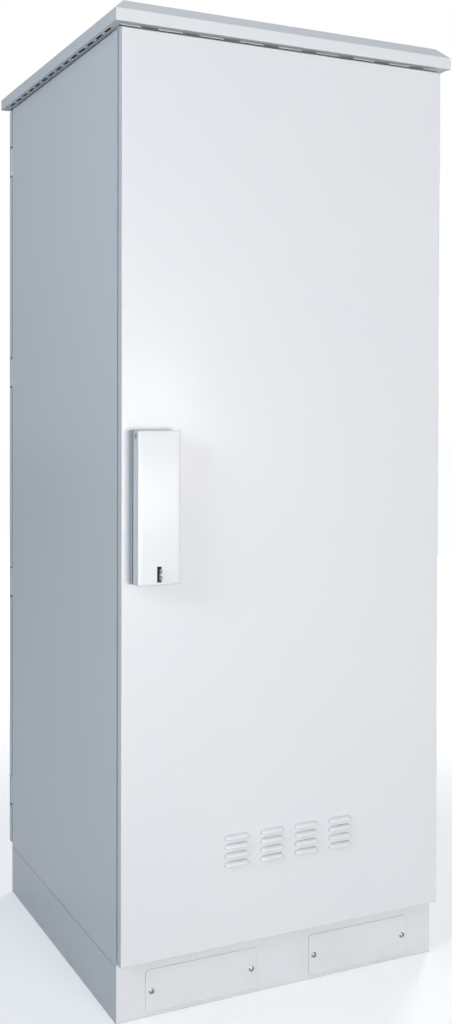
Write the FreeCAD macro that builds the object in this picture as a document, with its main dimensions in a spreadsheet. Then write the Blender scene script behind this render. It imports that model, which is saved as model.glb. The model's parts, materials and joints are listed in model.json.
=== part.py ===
import FreeCAD, Part
import Sketcher
import math
import os
import re

# Outdoor rack cabinet, millimetres. X runs to the right along the front, Y from the front to the rear, Z up.
# The origin is on the ground under the middle of the cabinet. The rear repeats the front, turned half round.

doc = FreeCAD.newDocument("outdoor_rack_cabinet")

# Driving sizes
SIZES = {
    "cabinet_width": 800,
    "cabinet_depth": 800,
    "body_height": 2108,
    "plinth_height": 120,
    "plinth_sheet": 3,
    "plinth_flange": 40,
    "anchor_inset": 22,
    "anchor_radius": 7,
    "plinth_opening_width": 227,
    "plinth_opening_height": 63,
    "plinth_cover_width": 267,
    "plinth_cover_height": 93,
    "plinth_cover_sheet": 2,
    "plinth_cover_middle": 56,
    "plinth_cover_corner": 8,
    "floor_sheet": 2,
    "cable_opening_length": 400,
    "cable_opening_width": 120,
    "cable_opening_offset": 150,
    "entry_plate_lap": 20,
    "entry_plate_sheet": 2,
    "entry_hole_radius": 25,
    "entry_hole_pitch": 95,
    "ceiling_sheet": 2,
    "side_sheet": 1.5,
    "side_top_gap": 5,
    "side_fold": 12,
    "frame_sheet": 2,
    "frame_jamb": 55,
    "frame_sill": 68,
    "frame_header": 64,
    "lip_height": 13,
    "post_size": 40,
    "post_sheet": 2,
    "bar_bottom": 150,
    "bar_size": 30,
    "bar_sheet": 2,
    "crossbar_width": 40,
    "rail_setback": 100,
    "rail_opening": 450,
    "rail_face": 30,
    "rail_depth": 40,
    "rail_sheet": 2,
    "unit_height": 44.45,
    "rail_end_margin": 1.55,
    "roof_side_overhang": 19,
    "roof_front_overhang": 14,
    "roof_sheet": 2,
    "rim_height": 26,
    "bevel_rise": 25,
    "bevel_inset": 26,
    "soffit_sheet": 1.5,
    "soffit_lap": 11,
    "vent_length": 58,
    "end_vent_length": 45,
    "vent_width": 14,
    "vent_setback": 21,
    "vent_lip_drop": 2,
    "vent_lip_sheet": 1.5,
    "side_vent_end": 35,
    "side_vent_length": 40,
    "side_vent_width": 6,
    "side_vent_setback": 5,
    "door_bottom_gap": 10,
    "door_top_gap": 7,
    "door_gap": 7,
    "door_depth": 21,
    "door_sheet": 2,
    "door_fold_radius": 2.5,
    "louvre_radius": 9,
    "louvre_sheet": 1.5,
    "louvre_length": 60,
    "louvre_column_pitch": 87.3,
    "louvre_row_pitch": 19.5,
    "louvre_first_row": 178,
    "gasket_width": 18,
    "gasket_depth": 8,
    "stiffener_end_gap": 25,
    "stiffener_width": 60,
    "stiffener_depth": 14,
    "stiffener_sheet": 1.5,
    "stiffener_first": 570,
    "stiffener_pitch": 830,
    "hinge_first": 140,
    "hinge_last": 135,
    "hinge_inset": 6.5,
    "hinge_setback": 9,
    "notch_height": 82,
    "notch_land": 2,
    "notch_reach": 4,
    "knuckle_radius": 6,
    "door_knuckle_height": 32,
    "body_knuckle_height": 20,
    "knuckle_gap": 0.5,
    "neck_width": 10,
    "pin_radius": 3,
    "pin_clearance": 0.1,
    "pin_stand_out": 1,
    "knuckle_plate_width": 26,
    "knuckle_plate_sheet": 3,
    "leaf_width": 26,
    "leaf_sheet": 3,
    "leaf_relief": 2,
    "lock_side_inset": 18,
    "lock_bottom": 940,
    "lock_width": 96,
    "lock_height": 322,
    "lock_base_depth": 16,
    "lock_sheet": 2,
    "cover_gap": 5,
    "cover_depth": 27,
    "pivot_drop": 11,
    "pivot_setback": 12,
    "pivot_radius": 2.5,
    "pivot_clearance": 0.1,
    "pivot_head_radius": 5,
    "pivot_head": 1.5,
    "ear_radius": 5,
    "ear_sheet": 4,
    "ear_gap": 1,
    "slot_width": 10,
    "slot_height": 33,
    "slot_bottom": 6,
    "staple_sheet": 3,
    "staple_height": 24,
    "staple_reach": 14,
    "staple_hole_radius": 4,
    "handle_width": 26,
    "handle_height": 170,
    "handle_depth": 14,
    "handle_bottom": 90,
    "handle_fold_radius": 5,
    "lock_barrel_radius": 9,
    "lock_barrel_length": 16,
    "lock_barrel_drop": 26,
    "case_width": 28,
    "case_height": 170,
    "case_depth": 12,
    "case_inset": 10,
    "rod_radius": 4,
    "rod_end_gap": 25,
    "cut_margin": 1,
}

# Numbers of like pieces, which a size can't change
VENT_COUNT = 9
SIDE_VENT_COUNT = 14
LOUVRE_COLUMNS = 4
LOUVRE_ROWS = 4
HINGE_COUNT = 4
STIFFENER_COUNT = 2
ENTRY_HOLE_COUNT = 4

# Places worked out from the driving sizes, front side
PLACES = {
    "half_width": "cabinet_width / 2",
    "body_front": "-cabinet_depth / 2",
    "floor_top": "plinth_height + floor_sheet",
    "frame_top": "body_height - ceiling_sheet",
    "frame_tall": "frame_top - floor_top",
    "plinth_cover_spread": "cabinet_width / 2",
    "opening_width": "cabinet_width - 2 * frame_jamb",
    "opening_bottom": "floor_top + frame_sill",
    "opening_top": "frame_top - frame_header",
    "stiffener_length": "opening_width - 2 * stiffener_end_gap",
    "door_back": "body_front - door_gap",
    "door_face": "door_back - door_depth",
    "door_skin_back": "door_face + door_sheet",
    "door_bottom": "plinth_height + door_bottom_gap",
    "door_top": "body_height - door_top_gap",
    "door_height": "door_top - door_bottom",
    "hinge_x": "half_width - hinge_inset",
    "hinge_y": "door_face + hinge_setback",
    "hinge_height": "door_knuckle_height + 2 * (body_knuckle_height + knuckle_gap)",
    "hinge_pitch": "(door_height - hinge_first - hinge_last) / %d" % (HINGE_COUNT - 1),
    "roof_width": "cabinet_width + 2 * roof_side_overhang",
    "roof_depth": "2 * (roof_front_overhang - door_face)",
    "roof_inside_front": "roof_sheet - roof_depth / 2",
    "roof_inside_left": "roof_sheet - roof_width / 2",
    "vent_pitch": "(half_width - end_vent_length + vent_length / 2) / %d" % (VENT_COUNT // 2),
    "side_vent_pitch": "(cabinet_depth - 2 * side_vent_end) / %d" % (SIDE_VENT_COUNT - 1),
    "rail_bottom": "bar_bottom + bar_size",
    "rack_units": "floor((frame_top - rail_bottom - bar_size) / unit_height)",
    "rail_length": "rack_units * unit_height + 2 * rail_end_margin",
    "bar_top": "rail_bottom + rail_length",
    "post_outer_x": "half_width - side_sheet",
    "post_outer_y": "cabinet_depth / 2 - frame_sheet",
    "bar_inner_x": "post_outer_x - post_size",
    "rail_front": "body_front + rail_setback",
    "lock_x": "lock_side_inset + lock_width / 2 - half_width",
    "lock_base_front": "door_face - lock_base_depth",
    "cover_back": "lock_base_front - cover_gap",
    "cover_front": "cover_back - cover_depth",
    "pivot_y": "cover_front + pivot_setback",
    "pivot_z": "lock_bottom + lock_height - pivot_drop",
    "cover_half": "lock_width / 2 - lock_sheet",
}


def expand(text):
    """Write a formula of plain names as one of spreadsheet cells."""
    def cell(found):
        word = found.group()
        if word in PLACES:
            return "(" + expand(PLACES[word]) + ")"
        return "sizes." + word if word in SIZES else word
    return re.sub(r"[a-z]\w*", cell, text)


sizes = doc.addObject("Spreadsheet::Sheet", "sizes")
for row, (alias, value) in enumerate(SIZES.items(), start=1):
    sizes.set("A%d" % row, alias)
    sizes.set("B%d" % row, str(value))
    sizes.setAlias("B%d" % row, alias)
doc.recompute()

AXIS_Y = FreeCAD.Vector(0, 1, 0)
AXIS_Z = FreeCAD.Vector(0, 0, 1)
ALONG_X = FreeCAD.Rotation(AXIS_Y, 90)
HALF_TURN = FreeCAD.Placement(FreeCAD.Vector(), FreeCAD.Rotation(AXIS_Z, 180))
SIDES = {"front": FreeCAD.Placement(), "rear": HALF_TURN}
# A sketch's first size before its formulas set it, and how close counts as lying on a plane
DRAFT_SIZE = 20
TOUCH = 0.01
nodes = []


def bind(thing, **formulas):
    """Tie properties to formulas; a double underscore stands for a dot."""
    for name, formula in formulas.items():
        thing.setExpression(name.replace("__", "."), expand(formula))


def node(thing, label, placement=FreeCAD.Placement()):
    """Name a finished sub-part and put it on the list that is written out."""
    thing.Label = label
    thing.Placement = placement
    nodes.append(thing)
    return thing


def box(low, size):
    """A block from its low corner and its size, each three formulas."""
    block = doc.addObject("Part::Box", "block")
    bind(block, Length=size[0], Width=size[1], Height=size[2])
    bind(block, Placement__Base__x=low[0], Placement__Base__y=low[1], Placement__Base__z=low[2])
    return block


def middle_box(middle_x, low_y, low_z, size):
    """A block centred on middle_x."""
    return box(["%s - (%s) / 2" % (middle_x, size[0]), low_y, low_z], size)


def cylinder(start, radius, length, rotation=FreeCAD.Rotation()):
    """A round bar from its start point, along Z unless it is turned."""
    bar = doc.addObject("Part::Cylinder", "bar")
    bar.Placement = FreeCAD.Placement(FreeCAD.Vector(), rotation)
    bind(bar, Radius=radius, Height=length)
    bind(bar, Placement__Base__x=start[0], Placement__Base__y=start[1], Placement__Base__z=start[2])
    return bar


def cut(base, tool):
    result = doc.addObject("Part::Cut", "cut")
    result.Base = base
    result.Tool = tool
    return result


def fuse(pieces):
    result = doc.addObject("Part::MultiFuse", "fuse")
    result.Shapes = pieces
    result.Refine = True
    return result


def group(pieces):
    result = doc.addObject("Part::Compound", "group")
    result.Links = pieces
    return result


def tube(low, size, wall, along):
    """A square tube that runs along one axis (0, 1 or 2), open at both ends."""
    inner_low = [place if axis == along else "%s + %s" % (place, wall) for axis, place in enumerate(low)]
    inner_size = [span if axis == along else "%s - 2 * %s" % (span, wall) for axis, span in enumerate(size)]
    return cut(box(low, size), box(inner_low, inner_size))


def new_body(name):
    return doc.addObject("PartDesign::Body", name + "_body")


def sketch_on(body, role, shift=("0", "0", "0")):
    """A sketch on one of the body's own origin planes, moved by shift in the plane's own axes."""
    plane = [feature for feature in body.Origin.OriginFeatures if feature.Role == role][0]
    sketch = body.newObject("Sketcher::SketchObject", "sketch")
    sketch.AttachmentSupport = (plane, [""])
    sketch.MapMode = "FlatFace"
    for axis, formula in zip("xyz", shift):
        sketch.setExpression("AttachmentOffset.Base." + axis, expand(formula))
    return sketch


def rectangle(sketch, width, height):
    """A rectangle centred on the sketch's origin."""
    start = sketch.GeometryCount
    half = DRAFT_SIZE / 2
    corners = [(-half, -half), (half, -half), (half, half), (-half, half)]
    points = [FreeCAD.Vector(across, up, 0) for across, up in corners]
    for side in range(4):
        sketch.addGeometry(Part.LineSegment(points[side], points[(side + 1) % 4]), False)
    for side in range(4):
        following = start + (side + 1) % 4
        sketch.addConstraint(Sketcher.Constraint("Coincident", start + side, 2, following, 1))
    for side, direction in enumerate(["Horizontal", "Vertical", "Horizontal", "Vertical"]):
        sketch.addConstraint(Sketcher.Constraint(direction, start + side))
    sketch.addConstraint(Sketcher.Constraint("Symmetric", start, 1, start + 2, 1, -1, 1))
    wide = sketch.addConstraint(Sketcher.Constraint("DistanceX", start, 1, start, 2, DRAFT_SIZE))
    tall = sketch.addConstraint(Sketcher.Constraint("DistanceY", start + 1, 1, start + 1, 2, DRAFT_SIZE))
    sketch.setExpression("Constraints[%d]" % wide, expand(width))
    sketch.setExpression("Constraints[%d]" % tall, expand(height))


def outline(body, role, width, height, shift=("0", "0", "0")):
    """A sketch that holds one centred rectangle."""
    sketch = sketch_on(body, role, shift)
    rectangle(sketch, width, height)
    return sketch


def circle(sketch, radius):
    """A circle round the sketch's origin."""
    index = sketch.addGeometry(Part.Circle(FreeCAD.Vector(), AXIS_Z, DRAFT_SIZE / 2), False)
    sketch.addConstraint(Sketcher.Constraint("Coincident", index, 3, -1, 1))
    limit = sketch.addConstraint(Sketcher.Constraint("Radius", index, DRAFT_SIZE / 2))
    sketch.setExpression("Constraints[%d]" % limit, expand(radius))


def pad(body, sketch, length, backwards=False):
    feature = body.newObject("PartDesign::Pad", "pad")
    feature.Profile = sketch
    feature.Reversed = backwards
    bind(feature, Length=length)
    doc.recompute()
    return feature


def pocket(body, sketch, length, backwards=False):
    """A pocket that has to take material away."""
    before = body.Shape.Volume
    feature = body.newObject("PartDesign::Pocket", "pocket")
    feature.Profile = sketch
    feature.Reversed = backwards
    bind(feature, Length=length)
    doc.recompute()
    if body.Shape.Volume >= before:
        raise ValueError("a pocket in %s cuts nothing" % body.Label)
    return feature


def pattern(body, features, sketch, axis, pitch, count):
    """Repeat features along a sketch axis; the first of them stays where it is."""
    feature = body.newObject("PartDesign::LinearPattern", "pattern")
    feature.Originals = features
    feature.Direction = (sketch, [axis])
    feature.Mode = "Spacing"
    feature.Occurrences = count
    bind(feature, Offset=pitch)
    body.Tip = feature
    doc.recompute()
    return feature


def edges_where(shape, test):
    """Names of the edges whose middle and direction pass a test."""
    found = []
    for index, edge in enumerate(shape.Edges, start=1):
        middle = edge.CenterOfMass
        if test(edge, middle):
            found.append("Edge%d" % index)
    return found


def fillet(body, base, edges, radius):
    feature = body.newObject("PartDesign::Fillet", "fillet")
    feature.Base = (base, edges)
    bind(feature, Radius=radius)
    doc.recompute()
    return feature


def parallel(edge, axis):
    """Whether a straight edge runs along an axis."""
    if edge.Curve.TypeId != "Part::GeomLine":
        return False
    return edge.Curve.Direction.cross(axis).Length < TOUCH


def number(formula):
    """The value of a size, as the sheet holds it."""
    return float(sizes.get(formula))


def make_plinth():
    """A welded ring of folded sheet with flanges turned in at the top and the bottom."""
    body = new_body("plinth")
    pad(body, outline(body, "XY_Plane", "cabinet_width", "cabinet_depth"), "plinth_height")
    clear_width = "cabinet_width - 2 * plinth_flange"
    clear_depth = "cabinet_depth - 2 * plinth_flange"
    pocket(body, outline(body, "XY_Plane", clear_width, clear_depth), "plinth_height", True)
    channel = outline(body, "XY_Plane", "cabinet_width - 2 * plinth_sheet", "cabinet_depth - 2 * plinth_sheet",
                      ("0", "0", "plinth_sheet"))
    pocket(body, channel, "plinth_height - 2 * plinth_sheet", True)
    for side in ("-", ""):
        window = outline(body, "XZ_Plane", "plinth_opening_width", "plinth_opening_height",
                         (side + "plinth_cover_spread / 2", "plinth_cover_middle", "body_front - cut_margin"))
        pocket(body, window, "cabinet_depth + 2 * cut_margin", True)
    for across in ("-", ""):
        for along in ("-", ""):
            anchor = sketch_on(body, "XY_Plane", (across + "(cabinet_width / 2 - anchor_inset)",
                                                  along + "(cabinet_depth / 2 - anchor_inset)", "0"))
            circle(anchor, "anchor_radius")
            pocket(body, anchor, "plinth_sheet", True)
    node(body, "plinth")


def make_plinth_covers(side, placement):
    """Two plates with rounded corners over the plinth's openings."""
    plates = []
    for sign in ("-", ""):
        body = new_body("plinth_cover")
        plate = outline(body, "XZ_Plane", "plinth_cover_width", "plinth_cover_height",
                        (sign + "plinth_cover_spread / 2", "plinth_cover_middle", "cabinet_depth / 2"))
        base = pad(body, plate, "plinth_cover_sheet")
        corners = edges_where(base.Shape, lambda edge, middle: parallel(edge, AXIS_Y))
        fillet(body, base, corners, "plinth_cover_corner")
        plates.append(body)
    node(group(plates), "plinth_covers_" + side, placement)


def make_floor():
    """The floor with its cable opening, and the plate with four round cable entries that closes it."""
    floor = middle_box("0", "body_front", "plinth_height", ["cabinet_width", "cabinet_depth", "floor_sheet"])
    opening = middle_box("0", "cable_opening_offset - cable_opening_width / 2", "plinth_height - cut_margin",
                         ["cable_opening_length", "cable_opening_width", "floor_sheet + 2 * cut_margin"])
    node(cut(floor, opening), "floor_plate")
    body = new_body("cable_entry_plate")
    plate = outline(body, "XY_Plane", "cable_opening_length + 2 * entry_plate_lap",
                    "cable_opening_width + 2 * entry_plate_lap", ("0", "cable_opening_offset", "floor_top"))
    pad(body, plate, "entry_plate_sheet")
    first = "-entry_hole_pitch * %d / 2" % (ENTRY_HOLE_COUNT - 1)
    hole = sketch_on(body, "XY_Plane", (first, "cable_opening_offset", "floor_top"))
    circle(hole, "entry_hole_radius")
    cutting = pocket(body, hole, "entry_plate_sheet", True)
    pattern(body, [cutting], hole, "H_Axis", "entry_hole_pitch", ENTRY_HOLE_COUNT)
    node(body, "cable_entry_plate")


def make_ceiling():
    ceiling = middle_box("0", "body_front", "frame_top",
                         ["cabinet_width", "cabinet_depth", "ceiling_sheet"])
    node(ceiling, "ceiling_plate")


def make_side_panel(name, placement):
    """A flat skin between the door frames, with a stiffening fold at its foot and its head."""
    tall = "body_height - side_top_gap - floor_top"
    skin = box(["-half_width", "-post_outer_y", "floor_top"], ["side_sheet", "2 * post_outer_y", tall])
    fold_size = ["side_fold", "2 * (post_outer_y - post_size)", "side_sheet"]
    foot = box(["-half_width", "post_size - post_outer_y", "floor_top"], fold_size)
    head = box(["-half_width", "post_size - post_outer_y", "floor_top + %s - side_sheet" % tall], fold_size)
    node(fuse([skin, foot, head]), name, placement)


def make_door_frame(side, placement):
    """The plate that the door closes against, with a raised lip round its opening."""
    body = new_body("door_frame")
    middle = "(opening_bottom + opening_top) / 2"
    opening_height = "opening_top - opening_bottom"
    plate = outline(body, "XZ_Plane", "cabinet_width", "frame_tall",
                    ("0", "floor_top + frame_tall / 2", "-body_front - frame_sheet"))
    pad(body, plate, "frame_sheet")
    lip = outline(body, "XZ_Plane", "opening_width + 2 * frame_sheet", opening_height + " + 2 * frame_sheet",
                  ("0", middle, "-body_front - frame_sheet"))
    pad(body, lip, "frame_sheet + lip_height")
    opening = outline(body, "XZ_Plane", "opening_width", opening_height,
                      ("0", middle, "-body_front - frame_sheet"))
    pocket(body, opening, "frame_sheet + lip_height", True)
    node(body, "door_frame_" + side, placement)


def make_posts(side, placement):
    """Two square tubes that carry the ceiling, just behind the door frame."""
    posts = []
    for low_x in ("-post_outer_x", "post_outer_x - post_size"):
        low = [low_x, "-post_outer_y", "floor_top"]
        posts.append(tube(low, ["post_size", "post_size", "frame_tall"], "post_sheet", 2))
    node(group(posts), "corner_posts_" + side, placement)


def make_depth_bars():
    """Bars between the front and the rear posts, low and high on each side."""
    bars = []
    for low_x in ("-post_outer_x", "post_outer_x - post_size"):
        for low_z in ("bar_bottom", "bar_top"):
            low = [low_x, "post_size - post_outer_y", low_z]
            bars.append(tube(low, ["post_size", "2 * (post_outer_y - post_size)", "bar_size"], "bar_sheet", 1))
    node(group(bars), "depth_bars")


def make_crossbars(side, placement):
    """Two bars from side to side that hold the foot and the head of the rack rails."""
    bars = []
    for low_z in ("bar_bottom", "bar_top"):
        low = ["-bar_inner_x", "rail_front", low_z]
        bars.append(tube(low, ["2 * bar_inner_x", "crossbar_width", "bar_size"], "bar_sheet", 0))
    node(group(bars), "crossbars_" + side, placement)


def make_rails(side, placement):
    """Two angle rails for rack equipment; each has a face towards the door and a flange behind it."""
    rails = []
    for sign, low_x in (("-", "-rail_opening / 2 - rail_face"), ("", "rail_opening / 2")):
        face = box([low_x, "rail_front", "rail_bottom"], ["rail_face", "rail_sheet", "rail_length"])
        flange_x = low_x if sign else "rail_opening / 2 + rail_face - rail_sheet"
        flange = box([flange_x, "rail_front", "rail_bottom"], ["rail_sheet", "rail_depth", "rail_length"])
        rails.append(fuse([face, flange]))
    node(group(rails), "rack_rails_" + side, placement)


def loft(body, kind, steps):
    """A loft between two centred rectangles, given as width, depth and height."""
    sections = [outline(body, "XY_Plane", width, depth, ("0", "0", height)) for width, depth, height in steps]
    feature = body.newObject(kind, "loft")
    feature.Profile = sections[0]
    feature.Sections = sections[1:]
    feature.Ruled = True
    doc.recompute()
    return feature


def make_roof():
    """A sheet cap: an upright rim, a bevel on all four sides and a flat top, open below."""
    body = new_body("roof_cap")
    rim = outline(body, "XY_Plane", "roof_width", "roof_depth", ("0", "0", "body_height"))
    pad(body, rim, "rim_height")
    shoulder = "body_height + rim_height"
    bevel_steps = [("roof_width", "roof_depth", shoulder),
                   ("roof_width - 2 * bevel_inset", "roof_depth - 2 * bevel_inset", shoulder + " + bevel_rise")]
    loft(body, "PartDesign::AdditiveLoft", bevel_steps)
    inside_width = "roof_width - 2 * roof_sheet"
    inside_depth = "roof_depth - 2 * roof_sheet"
    inside = outline(body, "XY_Plane", inside_width, inside_depth, ("0", "0", "body_height"))
    pocket(body, inside, "rim_height", True)
    hollow_steps = [(inside_width, inside_depth, shoulder),
                    (inside_width + " - 2 * bevel_inset", inside_depth + " - 2 * bevel_inset",
                     shoulder + " + bevel_rise - roof_sheet")]
    loft(body, "PartDesign::SubtractiveLoft", hollow_steps)
    node(body, "roof_cap")


def make_soffit(side, placement):
    """The strip under the roof's front edge, with a row of vents and a folded lip before each.

    The row ends with the cabinet's width, so its outer two vents are shorter than the rest.
    """
    body = new_body("soffit")
    strip_depth = "soffit_lap + body_front - roof_inside_front"
    strip = outline(body, "XY_Plane", "-2 * roof_inside_left", strip_depth,
                    ("0", "roof_inside_front + (%s) / 2" % strip_depth, "body_height"))
    pad(body, strip, "soffit_sheet")
    inner_first = "-vent_pitch * %d / 2" % (VENT_COUNT - 3)
    outer_first = "end_vent_length / 2 - half_width"
    vent_row(body, "vent_length", inner_first, "vent_pitch", VENT_COUNT - 2)
    vent_row(body, "end_vent_length", outer_first, "cabinet_width - end_vent_length", 2)
    node(body, "soffit_" + side, placement)


def vent_row(body, length, first, pitch, count):
    """Like vents in the front strip, each with its lip."""
    lip = outline(body, "XY_Plane", length, "vent_lip_sheet",
                  (first, "roof_inside_front + vent_setback - vent_lip_sheet / 2",
                   "body_height - vent_lip_drop"))
    lip_pad = pad(body, lip, "vent_lip_drop")
    vent = outline(body, "XY_Plane", length, "vent_width",
                   (first, "roof_inside_front + vent_setback + vent_width / 2", "body_height"))
    vent_cut = pocket(body, vent, "soffit_sheet", True)
    pattern(body, [lip_pad, vent_cut], vent, "H_Axis", pitch, count)


def make_side_soffits():
    """The narrow strips under the roof's side edges, between the front and the rear strip."""
    strips = []
    for placement in SIDES.values():
        strips.append(side_soffit())
        strips[-1].Placement = placement
    node(group(strips), "soffit_sides")


def side_soffit():
    """One narrow strip with its row of vents."""
    body = new_body("soffit")
    strip_width = "soffit_lap - half_width - roof_inside_left"
    strip = outline(body, "XY_Plane", strip_width, "-2 * (body_front + soffit_lap)",
                    ("roof_inside_left + (%s) / 2" % strip_width, "0", "body_height"))
    pad(body, strip, "soffit_sheet")
    first = "-side_vent_pitch * %d / 2" % (SIDE_VENT_COUNT - 1)
    vent = outline(body, "XY_Plane", "side_vent_width", "side_vent_length",
                   ("roof_inside_left + side_vent_setback + side_vent_width / 2", first, "body_height"))
    vent_cut = pocket(body, vent, "soffit_sheet", True)
    pattern(body, [vent_cut], vent, "V_Axis", "side_vent_pitch", SIDE_VENT_COUNT)
    return body


def hinge_levels():
    """Heights of the hinges' middles."""
    return ["door_bottom + hinge_first + %d * hinge_pitch" % index for index in range(HINGE_COUNT)]


def make_door(side, placement):
    """A folded pan with hinge notches in one edge and a block of pressed louvres near its foot."""
    body = new_body("door")
    middle = "(door_bottom + door_top) / 2"
    face = outline(body, "XZ_Plane", "cabinet_width", "door_height", ("0", middle, "-door_back"))
    base = pad(body, face, "door_depth")
    limit = base.Shape.BoundBox.YMin
    folds = edges_where(base.Shape, lambda edge, point: abs(point.y - limit) < TOUCH)
    fillet(body, base, folds, "door_fold_radius")
    inside = outline(body, "XZ_Plane", "cabinet_width - 2 * door_sheet", "door_height - 2 * door_sheet",
                     ("0", middle, "-door_back"))
    pocket(body, inside, "door_depth - door_sheet", True)
    notch = outline(body, "XZ_Plane", "2 * notch_reach", "notch_height",
                    ("half_width", "door_bottom + hinge_first", "-door_back"))
    notch_cut = pocket(body, notch, "door_depth - door_sheet - notch_land", True)
    pattern(body, [notch_cut], notch, "V_Axis", "hinge_pitch", HINGE_COUNT)
    make_louvres(body)
    node(body, side + "_door", placement)


def make_louvres(body):
    """Pressed hoods, open below: a quarter of a round-ended bar before the skin, hollow to the inside."""
    first_x = "-louvre_column_pitch * %d / 2" % (LOUVRE_COLUMNS - 1)
    level = "door_bottom + louvre_first_row"
    hood = half_capsule(body, "louvre_radius", (first_x, level, "-door_face"))
    hood_feature = body.newObject("PartDesign::Revolution", "hood")
    hollow = half_capsule(body, "louvre_radius - louvre_sheet", (first_x, level, "-door_face"))
    hollow_feature = body.newObject("PartDesign::Groove", "hollow")
    for feature, profile in ((hood_feature, hood), (hollow_feature, hollow)):
        feature.Profile = profile
        feature.ReferenceAxis = (profile, ["H_Axis"])
        feature.Angle = 90
        feature.Reversed = False
    doc.recompute()
    through = half_capsule(body, "louvre_radius - louvre_sheet", (first_x, level, "-door_face"))
    through_cut = pocket(body, through, "door_sheet")
    grid = body.newObject("PartDesign::MultiTransform", "louvres")
    grid.Originals = [hood_feature, hollow_feature, through_cut]
    columns = grid_line(body, through, "H_Axis", "louvre_column_pitch", LOUVRE_COLUMNS)
    rows = grid_line(body, through, "V_Axis", "louvre_row_pitch", LOUVRE_ROWS)
    grid.Transformations = [columns, rows]
    body.Tip = grid
    doc.recompute()


def grid_line(body, sketch, axis, pitch, count):
    """One direction of a grid of copies."""
    line = body.newObject("PartDesign::LinearPattern", "grid_line")
    line.Direction = (sketch, [axis])
    line.Mode = "Spacing"
    line.Occurrences = count
    bind(line, Offset=pitch)
    return line


def half_capsule(body, radius, shift):
    """A sketch of a bar's upper half with round ends, resting on the sketch's own level axis."""
    sketch = sketch_on(body, "XZ_Plane", shift)
    flat = number("louvre_length") / 2 - number("louvre_radius")
    round_off = number("louvre_radius")
    top_line = Part.LineSegment(FreeCAD.Vector(flat, round_off, 0), FreeCAD.Vector(-flat, round_off, 0))
    reach = flat + round_off
    foot_line = Part.LineSegment(FreeCAD.Vector(-reach, 0, 0), FreeCAD.Vector(reach, 0, 0))
    right = Part.Circle(FreeCAD.Vector(flat, 0, 0), AXIS_Z, round_off)
    left = Part.Circle(FreeCAD.Vector(-flat, 0, 0), AXIS_Z, round_off)
    sketch.addGeometry(foot_line, False)
    sketch.addGeometry(Part.ArcOfCircle(right, 0, math.pi / 2), False)
    sketch.addGeometry(top_line, False)
    sketch.addGeometry(Part.ArcOfCircle(left, math.pi / 2, math.pi), False)
    sketch.addConstraint(Sketcher.Constraint("Coincident", 0, 2, 1, 1))
    sketch.addConstraint(Sketcher.Constraint("Coincident", 3, 2, 0, 1))
    sketch.addConstraint(Sketcher.Constraint("Tangent", 1, 2, 2, 1))
    sketch.addConstraint(Sketcher.Constraint("Tangent", 2, 2, 3, 1))
    sketch.addConstraint(Sketcher.Constraint("PointOnObject", 0, 1, -1))
    sketch.addConstraint(Sketcher.Constraint("Horizontal", 0))
    sketch.addConstraint(Sketcher.Constraint("PointOnObject", 1, 3, -1))
    sketch.addConstraint(Sketcher.Constraint("Symmetric", 3, 3, 1, 3, -1, 1))
    spread = sketch.addConstraint(Sketcher.Constraint("DistanceX", 3, 3, 1, 3, 2 * flat))
    bend = sketch.addConstraint(Sketcher.Constraint("Radius", 1, round_off))
    sketch.addConstraint(Sketcher.Constraint("Equal", 1, 3))
    sketch.setExpression("Constraints[%d]" % spread, expand("louvre_length - 2 * louvre_radius"))
    sketch.setExpression("Constraints[%d]" % bend, expand(radius))
    return sketch


def make_gasket(side, placement):
    """A foam ring on the door's skin that meets the frame's lip."""
    body = new_body("gasket")
    middle = "(opening_bottom + opening_top) / 2"
    wide = "opening_width + 2 * frame_sheet"
    tall = "opening_top - opening_bottom + 2 * frame_sheet"
    half_spread = "gasket_width - frame_sheet"
    outside = outline(body, "XZ_Plane", wide + " + " + half_spread, tall + " + " + half_spread,
                      ("0", middle, "-door_skin_back"))
    pad(body, outside, "gasket_depth", True)
    inside = outline(body, "XZ_Plane", "%s + %s - 2 * gasket_width" % (wide, half_spread),
                     "%s + %s - 2 * gasket_width" % (tall, half_spread), ("0", middle, "-door_skin_back"))
    pocket(body, inside, "gasket_depth")
    node(body, side + "_door_gasket", placement)


def make_stiffeners(side, placement):
    """Folded channels across the inside of the door."""
    bars = []
    for index in range(STIFFENER_COUNT):
        low_z = "door_bottom + stiffener_first + %d * stiffener_pitch" % index
        bars.append(middle_box("0", "door_skin_back", low_z,
                               ["stiffener_length", "stiffener_depth", "stiffener_width"]))
        hollow_z = low_z + " + stiffener_sheet"
        hollow = middle_box("0", "door_skin_back", hollow_z,
                            ["stiffener_length", "stiffener_depth - stiffener_sheet",
                             "stiffener_width - 2 * stiffener_sheet"])
        bars[-1] = cut(bars[-1], hollow)
    node(group(bars), side + "_door_stiffeners", placement)


def make_door_knuckles(side, placement):
    """The middle knuckle of each hinge, on a plate welded to the door's skin."""
    knuckles = []
    for level in hinge_levels():
        foot = "%s - door_knuckle_height / 2" % level
        barrel = cylinder(["hinge_x", "hinge_y", foot], "knuckle_radius", "door_knuckle_height")
        neck = box(["hinge_x - knuckle_radius", "door_skin_back", foot],
                   ["neck_width", "hinge_y - door_skin_back", "door_knuckle_height"])
        plate = box(["hinge_x - knuckle_plate_width", "door_skin_back", foot],
                    ["knuckle_plate_width", "knuckle_plate_sheet", "door_knuckle_height"])
        bore = cylinder(["hinge_x", "hinge_y", foot + " - cut_margin"], "pin_radius + pin_clearance",
                        "door_knuckle_height + 2 * cut_margin")
        knuckles.append(cut(fuse([barrel, neck, plate]), bore))
    node(group(knuckles), side + "_door_knuckles", placement)


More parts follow.
